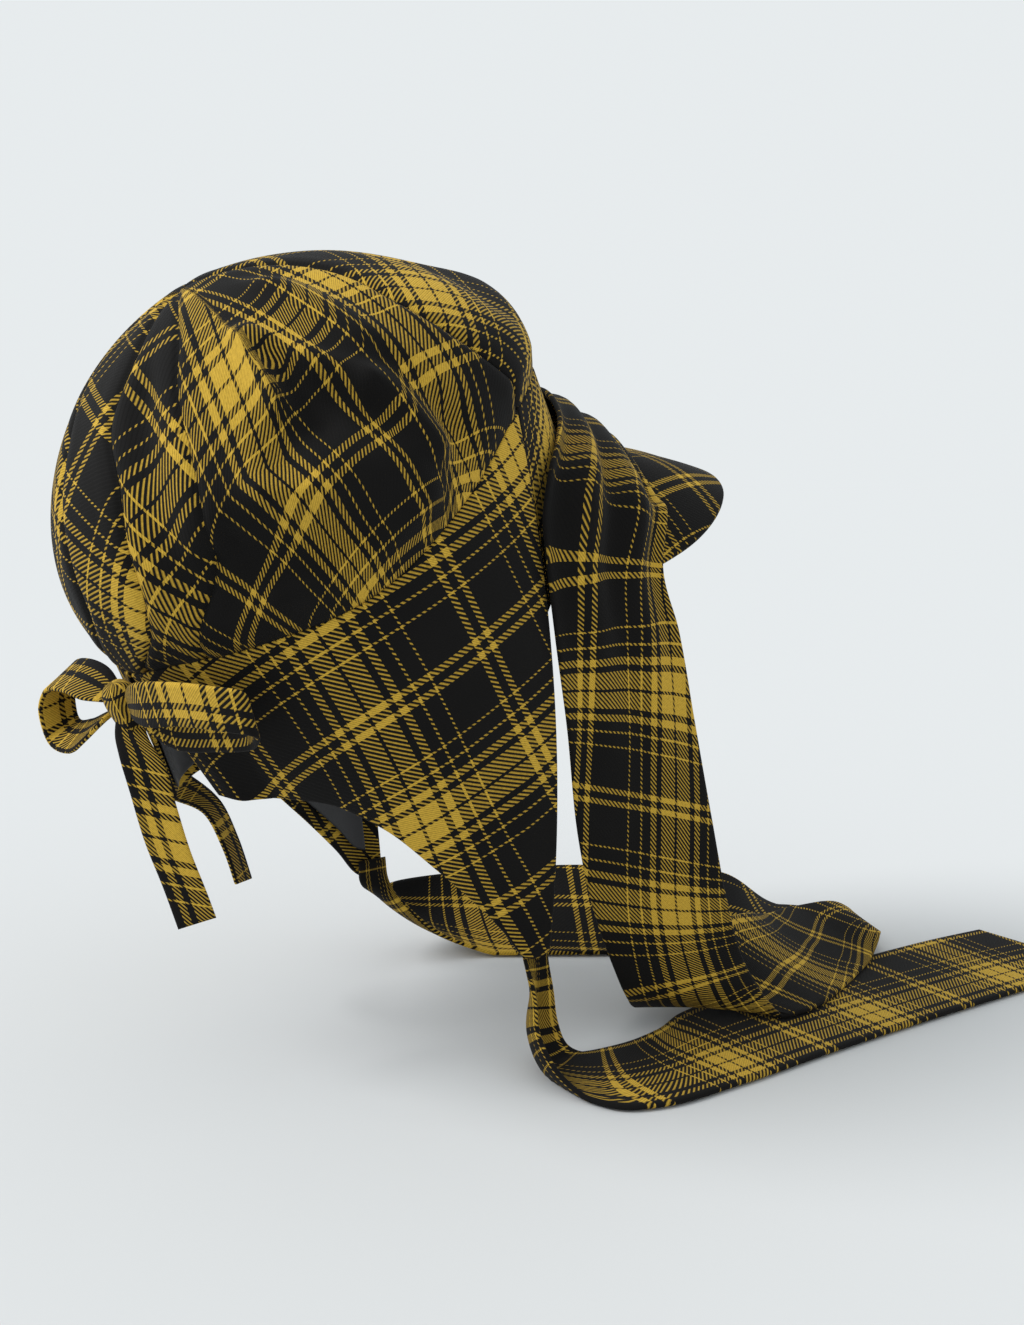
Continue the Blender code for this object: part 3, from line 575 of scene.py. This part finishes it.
# Peak. A stiffener between two layers of the tartan, sewn and turned, which arches over the brow
# from one flap's corner to the other.
PEAK_REACH = 0.078
PEAK_BOARD = 0.0030
PEAK_CAMBER = 0.05
CLEARANCE = 0.0003
PEAK_EDGE = {
    "around": (0, 12, 24, 36, 46, 53, 57),
    "side": (0.00, 0.14, 0.26, 0.25, 0.15, 0.05, 0.015),
    "forward": (1.00, 0.975, 0.87, 0.62, 0.35, 0.11, 0.015),
    "up": (-0.08, -0.09, -0.10, -0.10, -0.06, -0.02, 0.00),
}
PEAK_MESH = {"along": (100, 0.20), "out": (40, 0.07)}
PEAK_GRAIN = {"angle": 103, "u": -0.0026, "v": -0.0528}
PEAK_INSET = 2              # degrees from the flap's corner to the peak's
PEAK_RADIUS = 1.0           # large, since the board is nearly flat

reach = FRONT_SEAM - PEAK_INSET
around = reach - 2 * reach * spread(*PEAK_MESH["along"], WIDE_EDGE)
turned_to = np.abs(around)
root = band_edge(around) + np.array([0, -(CLOTH / 2 + CLEARANCE), -(PEAK_BOARD / 2 + CLEARANCE)])
outline = np.stack([-read(PEAK_EDGE, "around", "side", turned_to) * np.sign(around),
                    -read(PEAK_EDGE, "around", "forward", turned_to),
                    read(PEAK_EDGE, "around", "up", turned_to)], -1)
share = spread(*PEAK_MESH["out"], WIDE_EDGE)[::-1][None, :, None]
points = root[:, None] + (outline * PEAK_REACH)[:, None] * share
points[..., 2] += (PEAK_CAMBER * PEAK_REACH * 4 * share * (1 - share))[..., 0]
flat = lay_flat(points, PEAK_RADIUS)
peak = doubled("peak_cloth", points, PEAK_BOARD, turned(flat, PEAK_GRAIN), (cloth,))
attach(peak, "root")
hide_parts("peak")


# Ear flaps. Each is one layer of tartan from the nape's slit to a pointed front corner, with its
# free edges turned in as a narrow hem round a black satin lining.
FLAP_DROP = 0.177
NAPE_SLIT = 0.046
SLIT_START = 150
SEAM_GAP = 0.0007
HEM = 0.007
SLIT_HEM = 0.5              # hems that the lining stops short of the slit
FREE_HEM = 1.6              # and of the free edges
LINING = 0.0010
FLAP_MESH = {"along": (110, 0.20), "down": (90, 0.14)}
LINING_MESH = {"along": (60, 0.20), "down": (60, 0.14)}
FLAP_INSET = 0.3            # degrees between the band's end and the flap
PLAN_SHARE = 0.95           # of the crown's base, the mean plan of the flaps
PLAN_STEPS = 721
FLAP_EDGE = {
    "around": (57, 62, 68, 76, 85, 95, 106, 118, 131, 145, 158, 170, 180),
    "side": (0.805, 0.81, 0.815, 0.81, 0.795, 0.765, 0.725, 0.665, 0.58, 0.45, 0.31, 0.175, 0.0),
    "back": (-0.57, -0.50, -0.43, -0.335, -0.20, -0.06, 0.075, 0.18, 0.275, 0.39, 0.49, 0.555, 0.60),
    "drop": (1.00, 1.01, 0.995, 0.925, 0.84, 0.76, 0.685, 0.64, 0.61, 0.60, 0.598, 0.597, 0.59),
}
FLAP_SWELL = {
    "around": (57, 75, 100, 130, 155, 180),
    "swell": (0.10, 0.06, 0.07, 0.05, 0.02, 0.00),
}


def flap_point(around, down, hang=0.0):
    """The right ear flap: straight from the crown's base to its lower edge, swollen outward by
    4 d (1 - d) of the swell, with its last columns drawn back from the slit, where it may hang lower."""
    around, down = np.broadcast_arrays(np.asarray(around, float), np.asarray(down, float))
    top = crown_point(around, np.zeros_like(around)) - CROWN_AXIS * BASE_GAP
    at_slit = np.clip((around - SLIT_START) / (180 - SLIT_START), 0, 1)
    half_slit = NAPE_SLIT / 2 * at_slit
    side = read(FLAP_EDGE, "around", "side", around) * HALF_WIDTH + half_slit
    back = read(FLAP_EDGE, "around", "back", around) * HALF_LENGTH
    drop = read(FLAP_EDGE, "around", "drop", around) * FLAP_DROP
    bottom = np.stack([-side, back, -drop - hang * at_slit], -1)
    swell = read(FLAP_SWELL, "around", "swell", around) * HALF_WIDTH * 4 * down * (1 - down)
    lean = np.radians(around)
    out = np.stack([-np.sin(lean), -np.cos(lean), np.zeros_like(lean)], -1)
    share = down[..., None]
    slit_top = at_slit[..., None] * np.array([-SEAM_GAP, 0, 0])
    return top + (bottom - top) * share + swell[..., None] * out + slit_top


def unrolled(points):
    """Flat coordinates of an upright wall: the arc of its oval plan along, and its height up."""
    turn = np.linspace(-np.pi, np.pi, PLAN_STEPS)
    plan = np.stack([np.sin(turn) * HALF_WIDTH, np.cos(turn) * HALF_LENGTH], -1) * PLAN_SHARE
    arc = run(plan[None], 1)[0]
    place = np.arctan2(points[..., 0] / HALF_WIDTH, points[..., 1] / HALF_LENGTH)
    return np.stack([arc[len(arc) // 2] - np.interp(place, turn, arc), points[..., 2]], -1)


FLAP_GRAINS = {
    "right": {"angle": 31, "u": -0.0122, "v": 0.0205},
    "left": {"angle": -31, "u": 0.0122, "v": 0.0205},
}
LEFT_HANG = 0.010           # how much lower the left flap hangs at the slit
for side in ("right", "left"):
    mirror = np.array([1 if side == "right" else -1, 1, 1])
    around = 180 - (180 - FRONT_SEAM - FLAP_INSET) * spread(*FLAP_MESH["along"], FINE_EDGE)[:, None]
    down = 1 - spread(*FLAP_MESH["down"], FINE_EDGE)[None, :]
    hang = LEFT_HANG if side == "left" else 0.0
    points = flap_point(around, down, hang)
    points = points - outward(points) * CLOTH / 2
    flat = unrolled(points)
    inset = np.degrees(HEM / HALF_LENGTH)
    width = 180 - FRONT_SEAM - (SLIT_HEM + FREE_HEM) * inset
    depth = 1 - (1 + FREE_HEM) * HEM / FLAP_DROP
    around = 180 - SLIT_HEM * inset - width * spread(*LINING_MESH["along"], FINE_EDGE)[:, None]
    down = 1 - FREE_HEM * HEM / FLAP_DROP - depth * spread(*LINING_MESH["down"], FINE_EDGE)[None, :]
    inner = flap_point(around, down, hang)
    inner = inner - outward(inner) * (CLOTH + 2 * CLEARANCE + LINING / 2)
    if side == "left":
        points, inner, flat = (points * mirror)[::-1], (inner * mirror)[::-1], (flat * (-1, 1))[::-1]
    flap = doubled("ear_flap_%s_cloth" % side, points, CLOTH, turned(flat, FLAP_GRAINS[side]), (cloth,))
    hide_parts("ear_flap_" + side)
    inside = doubled("flap_lining_%s_satin" % side, inner, LINING, unrolled(inner), (lining,))
    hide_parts("flap_lining_" + side)
    for piece in (flap, inside):
        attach(piece, "root")


# Ties. Each is a long strip of tartan, folded, sewn and turned, and sewn to a flap's tip. The right
# one lies out on the floor. The left one lies in a loop, climbs the right side, is drawn in over
# the peak and hangs down on the left.
TIE_WIDTH = 0.070
TIE_CLOTH = 0.0023
TIE_FALL = 0.0445
RIPPLES = 2.5
TIE_LINES = 30
TIE_EDGE = 0.0025
TIE_LIFT = 0.0007           # between a lying tie and the floor
# A row gives a tie's two edges, to the left and forward as shares of the head's half width and length
# and by a level, then how far the cloth bows and ripples between them, as shares of its width.
TIE_COLUMNS = ("side_a", "forward_a", "level_a", "side_b", "forward_b", "level_b", "bow", "ripple")
TIE_RIGHT_ROWS = (
    (-0.766, 0.43, -0.955, -0.766, 0.57, -0.955, 0.00, 0.00),
    (-0.772, 0.46, -1.060, -0.768, 0.575, -1.060, 0.02, 0.00),
    (-0.874, 0.45, -1.340, -0.822, 0.57, -1.360, 0.08, 0.00),
    (-0.977, 0.41, -1.61, -0.839, 0.58, -1.65, 0.12, 0.00),
    (-1.146, 0.40, -1.83, -0.874, 0.61, -1.88, 0.12, 0.00),
    (-1.330, 0.43, -1.96, -0.920, 0.69, -1.97, 0.08, 0.00),
    (-1.448, 0.48, -2.00, -0.943, 0.84, -2.00, 0.04, 0.00),
    (-1.540, 0.63, -2.00, -0.920, 1.02, -2.00, 0.02, 0.00),
    (-1.575, 0.98, -2.00, -0.828, 1.22, -2.00, 0.01, 0.00),
    (-1.575, 1.43, -2.00, -0.793, 1.52, -2.00, 0.00, 0.00),
    (-1.586, 1.90, -2.00, -0.793, 1.93, -2.00, 0.00, 0.00),
    (-1.609, 2.38, -2.00, -0.816, 2.40, -2.00, 0.01, 0.00),
    (-1.644, 2.86, -2.00, -0.851, 2.86, -2.00, 0.01, 0.00),
    (-1.690, 3.19, -2.00, -0.897, 3.17, -2.00, 0.00, 0.00),
)
TIE_LEFT_ROWS = (
    (0.766, 0.57, -0.955, 0.766, 0.43, -0.955, 0.00, 0.00),
    (0.764, 0.58, -1.060, 0.780, 0.44, -1.060, 0.02, 0.00),
    (0.724, 0.63, -1.300, 0.920, 0.59, -1.240, 0.06, 0.00),
    (0.644, 0.76, -1.66, 0.989, 0.76, -1.27, 0.10, 0.00),
    (0.483, 0.95, -1.92, 0.989, 1.03, -1.30, 0.08, 0.00),
    (0.241, 1.25, -2.00, 0.839, 1.59, -1.36, 0.04, 0.00),
    (0.069, 1.46, -2.00, 0.667, 1.80, -1.36, 0.02, 0.00),
    (-0.172, 1.76, -2.00, 0.425, 2.10, -1.38, 0.02, 0.00),
    (-0.345, 1.98, -2.00, 0.264, 2.355, -1.50, 0.02, 0.00),
    (-0.517, 2.27, -2.00, 0.161, 2.62, -1.94, 0.02, 0.00),
    (-0.610, 2.49, -2.00, -0.046, 2.76, -2.00, 0.00, 0.00),
    (-0.710, 2.59, -1.88, -0.280, 2.80, -1.88, 0.00, 0.00),
    (-0.770, 2.55, -1.78, -0.270, 2.72, -1.76, 0.00, 0.00),
    (-0.905, 2.36, -1.88, -0.161, 2.50, -1.76, -0.01, 0.00),
    (-1.005, 2.17, -1.91, -0.270, 2.21, -1.66, -0.03, 0.00),
    (-1.120, 1.94, -1.91, -0.450, 1.87, -1.42, -0.05, 0.00),
    (-1.195, 1.77, -1.90, -0.530, 1.57, -1.40, -0.03, 0.00),
    (-1.225, 1.62, -1.89, -0.610, 1.29, -1.64, 0.00, 0.00),
    (-1.190, 1.51, -1.86, -0.725, 1.05, -1.83, 0.02, 0.00),
    (-1.085, 1.486, -1.70, -0.828, 0.93, -1.60, -0.02, 0.00),
    (-0.989, 1.457, -1.42, -0.839, 0.85, -1.24, -0.05, 0.00),
    (-0.954, 1.390, -0.96, -0.839, 0.76, -0.93, -0.03, 0.00),
    (-0.931, 1.305, -0.735, -0.851, 0.667, -0.735, -0.02, 0.00),
    (-0.920, 1.210, -0.49, -0.885, 0.59, -0.47, -0.01, 0.01),
    (-0.925, 1.115, -0.27, -0.940, 0.50, -0.26, -0.01, 0.02),
    (-0.935, 1.020, -0.115, -0.945, 0.455, -0.085, -0.04, 0.035),
    (-0.890, 1.070, 0.020, -0.915, 0.460, 0.020, -0.06, 0.045),
    (-0.770, 1.110, 0.060, -0.845, 0.530, 0.160, -0.04, 0.055),
    (-0.600, 1.160, 0.140, -0.695, 0.655, 0.275, -0.02, 0.040),
    (-0.402, 1.220, 0.230, -0.471, 0.800, 0.395, 0.00, 0.025),
    (0.000, 1.310, 0.345, 0.000, 0.940, 0.525, 0.00, 0.020),
    (0.402, 1.235, 0.260, 0.437, 0.850, 0.415, -0.02, 0.040),
    (0.720, 1.130, 0.110, 0.750, 0.680, 0.235, -0.06, 0.045),
    (0.905, 1.070, -0.050, 0.925, 0.580, 0.000, -0.04, 0.030),
    (0.955, 1.050, -0.250, 0.965, 0.445, -0.200, -0.02, 0.020),
    (0.950, 1.060, -0.430, 0.950, 0.410, -0.400, -0.01, 0.010),
    (0.943, 1.070, -0.620, 0.931, 0.410, -0.600, 0.00, 0.000),
)
TIE_GRAINS = {
    "tie_right": {"angle": 0, "u": -0.002, "v": -0.088},
    "tie_left": {"angle": 0, "u": -0.019, "v": 0.0},
}
TIE_WEAVES = {              # along a tie: what the weave reads, its slope across, how far it has slid
    "tie_right": {
        "along": (0.00, 0.050, 0.075, 0.1630, 0.40),
        "weave": (0.00, 0.060, 0.088, 0.1895, 0.46),
        "bias": (0.00, 0.00, 0.00, 0.00, 0.00),
        "slide": (0.00, 0.00, 0.00, 0.00, 0.00),
    },
    "tie_left": {
        "along": (0.000, 0.328, 0.4140, 0.463, 0.5485, 0.650, 1.083),
        "weave": (-0.131, 0.203, 0.3045, 0.406, 0.5075, 0.609, 1.042),
        "bias": (0.00, 0.00, 0.25, 0.50, 0.50, 0.12, 0.00),
        "slide": (0.00, 0.00, 0.030, 0.034, 0.018, 0.00, 0.00),
    },
}


def level(share):
    """A height from its share: of the head's half length above the crown's base, of the flaps' drop
    down to -1, and of the fall from a flap's tip to the floor down to -2."""
    share = np.asarray(share, float)
    return np.where(share > 0, share * HALF_LENGTH,
                    np.where(share > -1, share * FLAP_DROP, -FLAP_DROP + (share + 1) * TIE_FALL))


def tie_surface(rows, count, across):
    """A tie's middle surface, ruled between two smooth edges and bent between them, with its flat
    coordinates: the share across, and the middle line's run plus what a point lies ahead of it."""
    table = dict(zip(TIE_COLUMNS, np.array(rows, float).T))
    edges = [np.stack([table["side_" + e] * HALF_WIDTH, -table["forward_" + e] * HALF_LENGTH,
                       level(table["level_" + e])], -1) for e in ("b", "a")]
    middle = (edges[0] + edges[1]) / 2
    knots = np.concatenate([[0], np.cumsum(np.linalg.norm(np.diff(middle, axis=0), axis=1))])
    places = spread(count, knots[-1], WIDE_EDGE) * knots[-1]
    bends = np.stack([table["bow"], table["ripple"]], -1)
    smooth = through(knots, np.hstack([*edges, bends]), places)
    share = across[:, None, None]
    points = smooth[None, :, 0:3] * (1 - share) + smooth[None, :, 3:6] * share
    bow = smooth[:, 6] * 4 * share[..., 0] * (1 - share[..., 0])
    ripple = smooth[:, 7] * np.sin(2 * np.pi * RIPPLES * (1 - share[..., 0]))
    points = points - outward(points) * ((bow + ripple) * TIE_WIDTH)[..., None]
    points[..., 2] = np.maximum(points[..., 2], floor_level + TIE_CLOTH / 2 + TIE_LIFT)
    line = (smooth[:, 0:3] + smooth[:, 3:6]) / 2
    ahead_of = ((points - line) * unit(np.gradient(line, axis=0))).sum(-1)
    along = run(line[None], 1) + ahead_of
    return points, np.stack(np.broadcast_arrays(share[..., 0] * TIE_WIDTH, along), -1)


TIES = (
    {"name": "tie_right", "rows": TIE_RIGHT_ROWS, "lines": 170, "held": "laid", "rests_on": []},
    {"name": "tie_left", "rows": TIE_LEFT_ROWS, "lines": 560, "held": "hung", "rests_on": ["peak_cloth"]},
)
for strip in TIES:
    name = strip["name"]
    points, flat = tie_surface(strip["rows"], strip["lines"], spread(TIE_LINES, TIE_WIDTH, TIE_EDGE))
    across, along = flat[..., 0], flat[..., 1]
    weave, bias, slide = [read(TIE_WEAVES[name], "along", column, along)
                          for column in ("weave", "bias", "slide")]
    weave = np.stack([across + slide, weave + bias * (across - TIE_WIDTH / 2)], -1)
    tie = doubled(name + "_cloth", points, TIE_CLOTH, turned(weave, TIE_GRAINS[name]), (cloth,))
    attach(tie, "root")
    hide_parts(name)


# Bow. Narrow ties of the same cloth, sewn and turned, are tied at the top of the nape's slit: a
# knot, two loops and two tails.
BOW_TIE_WIDTH = 0.0175
BOW_CLOTH = 0.0020
KNOT_WIDTH = 0.017
KNOT_DEPTH = 0.013
KNOT_HEIGHT = 0.021
KNOT_DROP = 0.48
KNOT_MESH = (64, 40)
KNOT_SQUARENESS = 0.72      # power of its sines and cosines: 1 is round
KNOT_CREASE = {"at": 0.35, "width": 0.12, "depth": 0.05}
KNOT_WRAP = 0.85            # of its box's girth, the girth of the knot
KNOT_GRAIN = (0.046, 0.045)
BOW_MESH = (14, 70)
# A row gives the middle of a band to the wearer's right, out and down from where it leaves the knot,
# then its width the same ways, as shares of BOW_TIE_WIDTH.
BOW_COLUMNS = ("side", "out", "down", "width_side", "width_out", "width_down")
BOW_BANDS = {
    "bow_loop_right": (
        (-0.22, 0.04, -0.04, 0.00, 0.10, -0.40),
        (0.10, 0.10, -0.10, 0.00, 0.15, -0.64),
        (0.914, 0.20, -0.22, 0.05, 0.30, -0.95),
        (2.114, -0.06, -0.38, 0.10, 0.30, -0.95),
        (3.214, -0.50, -0.40, 0.10, 0.30, -0.95),
        (3.764, -0.98, -0.30, 0.10, 0.30, -0.95),
        (3.364, -1.12, -0.02, 0.10, 0.35, -0.93),
        (2.214, -0.78, 0.22, 0.10, 0.35, -0.93),
        (0.964, -0.34, 0.28, 0.05, 0.30, -0.95),
        (0.12, -0.10, 0.10, 0.00, 0.15, -0.64),
        (-0.20, -0.04, 0.04, 0.00, 0.10, -0.40),
    ),
    "bow_loop_left": (
        (-0.054, 0.12, -0.18, 0.06, 0.48, 0.25),
        (-0.564, 0.30, -0.36, 0.12, 0.72, 0.60),
        (-1.364, 0.48, -0.48, 0.22, 0.70, 0.68),
        (-2.264, 0.60, -0.28, 0.28, 0.82, 0.50),
        (-2.484, 0.62, 0.36, 0.30, 0.93, 0.22),
        (-2.264, 0.58, 0.84, 0.30, 0.86, 0.40),
        (-1.364, 0.46, 0.90, 0.22, 0.70, 0.68),
        (-0.614, 0.34, 0.60, 0.12, 0.68, 0.60),
        (-0.054, 0.14, 0.22, 0.06, 0.48, 0.25),
    ),
    "bow_tail_right": (
        (0.08, -0.02, -0.450, 0.38, -0.40, 0.05),
        (0.34, 0.02, 0.020, 0.50, -0.58, 0.12),
        (0.76, -0.02, 0.450, 0.60, -0.78, 0.22),
        (1.02, -0.14, 1.250, 0.60, -0.78, 0.24),
        (1.20, -0.36, 2.300, 0.60, -0.78, 0.20),
        (1.36, -0.66, 3.300, 0.62, -0.76, 0.16),
        (1.50, -0.92, 4.250, 0.62, -0.76, 0.14),
    ),
    "bow_tail_left": (
        (-0.04, -0.02, -0.420, 0.34, 0.22, 0.05),
        (-0.24, -0.08, 0.060, 0.48, 0.30, 0.15),
        (-0.66, -0.40, 0.820, 0.66, 0.45, 0.60),
        (-1.40, -1.00, 1.350, 0.60, 0.50, 0.62),
        (-2.20, -2.05, 1.900, 0.66, 0.62, 0.42),
        (-2.60, -2.95, 2.600, 0.72, 0.68, 0.10),
        (-2.75, -3.45, 3.600, 0.74, 0.67, 0.05),
        (-2.85, -3.85, 4.800, 0.74, 0.67, 0.05),
    ),
}
BOW_STARTS = {
    "bow_loop_right": (KNOT_WIDTH / 2, 0, 0),
    "bow_loop_left": (-KNOT_WIDTH / 2, 0, 0),
    "bow_tail_right": (0, 0, KNOT_HEIGHT / 2),
    "bow_tail_left": (0, 0, KNOT_HEIGHT / 2),
}
BOW_GRAIN = {"angle": 0, "u": 0.034, "v": 0.0}
BOW_SLANTS = {              # how far a cut end slants, in metres
    "bow_loop_right": 0, "bow_loop_left": 0, "bow_tail_right": 0.008, "bow_tail_left": 0.004,
}
nape = [flap_point(180.0, share) * (0, 1, 1) for share in (0.0, 0.5)]
knot_down = unit(nape[1] - nape[0])
knot_out = np.array([0.0, -knot_down[2], knot_down[1]])
knot_middle = nape[0] + knot_down * KNOT_DROP * KNOT_HEIGHT + knot_out * (KNOT_DEPTH / 2 + CLEARANCE)

for name, rows in BOW_BANDS.items():
    table = dict(zip(BOW_COLUMNS, np.array(rows, float).T))
    leaves = knot_middle + np.array(BOW_STARTS[name]) * (-1, 1, -1)
    line = leaves + np.stack([-table["side"], table["out"], -table["down"]], -1) * BOW_TIE_WIDTH
    width = np.stack([-table["width_side"], table["width_out"], -table["width_down"]], -1) * BOW_TIE_WIDTH
    knots = np.concatenate([[0], np.cumsum(np.linalg.norm(np.diff(line, axis=0), axis=1))])
    share = spread(BOW_MESH[0], BOW_TIE_WIDTH, FINE_EDGE)[:, None]
    places = spread(BOW_MESH[1], knots[-1], FINE_EDGE) * (knots[-1] - BOW_SLANTS[name] * share)
    smooth = through(knots, np.hstack([line, width]), places)
    points = smooth[..., :3] + smooth[..., 3:] * (share[..., None] - 0.5)
    flat = np.stack(np.broadcast_arrays(share * BOW_TIE_WIDTH, places), -1)
    band = doubled(name + "_cloth", points, BOW_CLOTH, turned(flat, BOW_GRAIN), (cloth,))
    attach(band, "root")
    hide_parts(name)


def powered(value):
    """A sine or cosine raised to a power with its sign kept, which squares a circle."""
    return np.sign(value) * np.abs(value)**KNOT_SQUARENESS


turn = np.linspace(0, 2 * np.pi, KNOT_MESH[0], endpoint=False)[:, None]
tip = np.linspace(-np.pi / 2, np.pi / 2, KNOT_MESH[1])[None, :]
fold = np.exp(-((np.sin(turn) - KNOT_CREASE["at"]) / KNOT_CREASE["width"])**2)
crease = 1 - KNOT_CREASE["depth"] * fold * np.cos(tip)**2
x = powered(np.cos(tip)) * powered(np.cos(turn)) * KNOT_WIDTH / 2 * crease
y = powered(np.cos(tip)) * powered(np.sin(turn)) * KNOT_DEPTH / 2 * crease
z = np.broadcast_to(powered(np.sin(tip)) * KNOT_HEIGHT / 2, x.shape)
points = (knot_middle + x[..., None] * np.array([1.0, 0, 0]) + y[..., None] * knot_out
          - z[..., None] * knot_down)
girth = 2 * (KNOT_WIDTH + KNOT_DEPTH) * KNOT_WRAP
around = np.linspace(0, girth, KNOT_MESH[0] + 1)[:, None]
weave = np.stack(np.broadcast_arrays(around, np.sin(tip) * KNOT_HEIGHT / 2), -1)
knot = sew("bow_knot_cloth", points[::-1], weave + KNOT_GRAIN, (cloth,), ring=True)
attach(knot, "root")
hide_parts("bow_knot")
